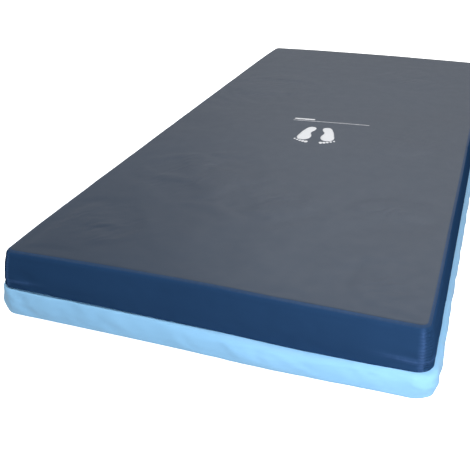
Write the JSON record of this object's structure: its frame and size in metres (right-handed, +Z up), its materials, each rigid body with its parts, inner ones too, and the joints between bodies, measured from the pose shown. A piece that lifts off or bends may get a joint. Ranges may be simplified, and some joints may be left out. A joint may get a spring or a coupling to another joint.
{
  "type": "pressure relief mattress",
  "caption": "Hospital mattress: zoned castellated foam core in a zipped cover, with a navy stretch top and skirt over a pale blue base tray.",
  "frame": {"origin": "middle of the underside, where the mattress rests on the bed", "axes": "+Z up, +Y towards the head end (the toes of the printed feet point to -Y), +X to the right seen from the foot end"},
  "size_m": [0.88, 1.98, 0.15],
  "materials": {
    "cover_top_fabric": "satin polyurethane-coated stretch knit",
    "cover_base_fabric": "satin polyurethane-coated knit",
    "seam_tape": "satin",
    "zip_tape": "matte woven",
    "zip_chain": "satin moulded",
    "zip_stop": "satin",
    "slider_metal": "satin die-cast",
    "print_ink": "matte screen print",
    "foam_firm": "open-cell foam",
    "foam_medium": "open-cell foam",
    "foam_soft": "open-cell foam",
    "foam_heel": "open-cell foam"
  },
  "bodies": {
    "base": {"base_border": "cover_base_fabric", "base_panel": "cover_base_fabric", "base_seam_tape": "seam_tape", "zip_tape_lower": "zip_tape", "zip_chain_lower": "zip_chain", "zip_stops_lower": "zip_stop"},
    "core": {"base_foam": "foam_firm", "transition_foam": "foam_medium", "side_wall_left": "foam_firm", "side_wall_right": "foam_firm", "heel_zone_foam": "foam_heel", "leg_zone_foam": "foam_soft", "torso_zone_foam": "foam_soft", "head_zone_foam": "foam_soft"},
    "top_cover": {"top_cover": "cover_top_fabric", "skirt_hem": "cover_top_fabric", "corner_seams": "cover_top_fabric", "zip_tape_upper": "zip_tape", "zip_chain_upper": "zip_chain", "zip_stops_upper": "zip_stop"},
    "side_slider": {"slider_side": "slider_metal"},
    "side_pull": {"pull_side": "slider_metal"},
    "foot_slider": {"slider_foot": "slider_metal"},
    "foot_pull": {"pull_foot": "slider_metal"}
  },
  "joints": [
    {"name": "core_lift", "type": "slide", "parent": "base", "child": "core", "axis": [0, 0, 1], "range_m": [0, 0.15]},
    {"name": "cover_lift", "type": "slide", "parent": "core", "child": "top_cover", "axis": [0, 0, 1], "range_m": [0, 0.2]},
    {"name": "side_slider_travel", "type": "slide", "parent": "base", "child": "side_slider", "axis": [0, 1, 0], "range_m": [0, 1.85]},
    {"name": "foot_slider_travel", "type": "slide", "parent": "base", "child": "foot_slider", "axis": [-1, 0, 0], "range_m": [0, 0.76]},
    {"name": "side_pull_swing", "type": "hinge", "parent": "side_slider", "child": "side_pull", "pos_m": [0.43635, -0.93, 0.084], "axis": [1, 0, 0], "range_deg": [-80, 80]},
    {"name": "foot_pull_swing", "type": "hinge", "parent": "foot_slider", "child": "foot_pull", "pos_m": [0.38, -0.98635, 0.084], "axis": [0, -1, 0], "range_deg": [-80, 80]}
  ]
}
